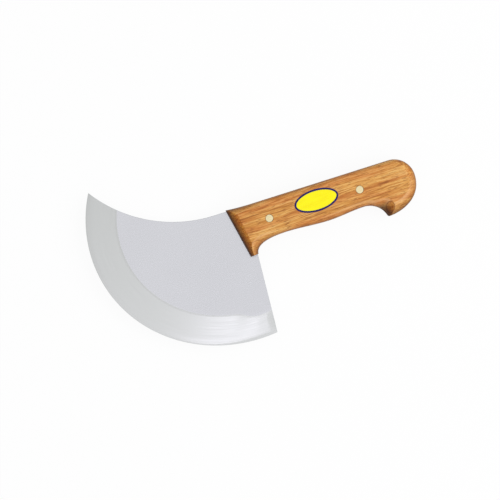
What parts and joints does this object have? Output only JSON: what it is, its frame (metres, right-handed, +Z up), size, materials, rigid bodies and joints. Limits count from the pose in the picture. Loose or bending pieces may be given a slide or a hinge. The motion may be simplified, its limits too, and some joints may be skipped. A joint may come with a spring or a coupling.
{
  "type": "pastry knife",
  "caption": "Crescent pastry knife: a broad half-moon blade with a ground bevel and full tang, between carved wooden scales with a finger hook, pinned by flush rivets.",
  "frame": {"origin": "middle of the knife's footprint, on the surface that it lies on, which is the back scale's outer face", "axes": "+X along the handle from the blade to the butt, +Y from the cutting edge to the spine, +Z up out of the labelled face"},
  "size_m": [0.2266, 0.1298, 0.0202],
  "materials": {
    "steel": "satin-polished stainless sheet, bevel belt-ground along the edge",
    "wood": "oiled orange-brown hardwood, fine sanded, grain along the handle",
    "brass": "pale brass, peened and sanded flush",
    "label": "glossy vinyl sticker, yellow with a navy rim, no lettering"
  },
  "bodies": {
    "root": {"blade": "steel", "front_scale": "wood", "back_scale": "wood", "front_rivet": "brass", "rear_rivet": "brass", "label": "label"}
  },
  "joints": []
}
